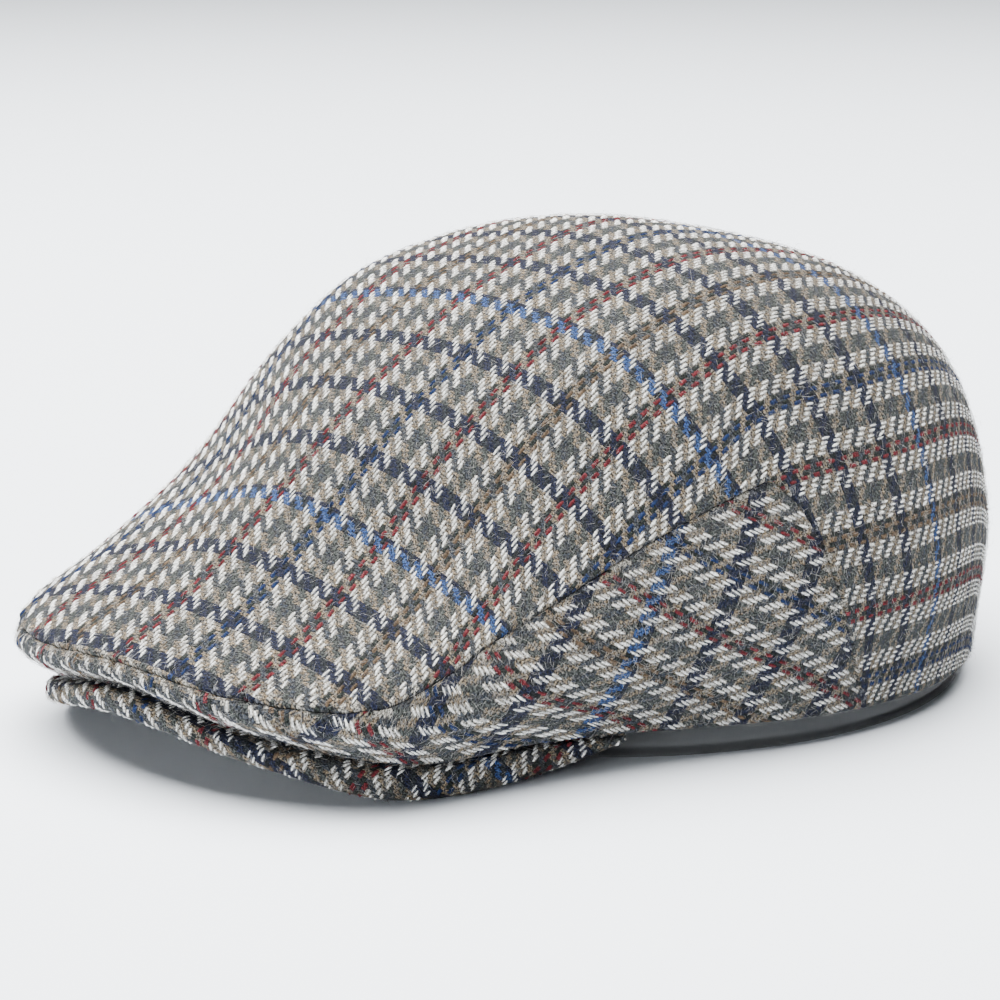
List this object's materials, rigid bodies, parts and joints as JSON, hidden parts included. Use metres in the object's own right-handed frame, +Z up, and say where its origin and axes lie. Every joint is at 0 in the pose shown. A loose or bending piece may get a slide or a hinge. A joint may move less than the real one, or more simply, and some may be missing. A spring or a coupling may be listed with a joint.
{
  "type": "flat cap on a clear display ring",
  "caption": "Soft wool flat cap with a short arched front peak, a smooth panel over the crown and wedge panels at the sides, held up by a clear ring inside the hem.",
  "frame": {"origin": "centre of the bounding box's bottom face, on the surface that the clear ring stands on", "axes": "+Z up, the peak points to -Y, the back of the cap is at +Y, and +X is the wearer's left"},
  "size_m": [0.2024, 0.2612, 0.115],
  "materials": {
    "tweed": "brushed wool twill with a fine coloured check",
    "clear_plastic": "clear and glossy"
  },
  "bodies": {
    "root": {"top_panel": "tweed", "side_panel_left": "tweed", "side_panel_right": "tweed", "peak": "tweed", "clear_ring": "clear_plastic"}
  },
  "joints": []
}
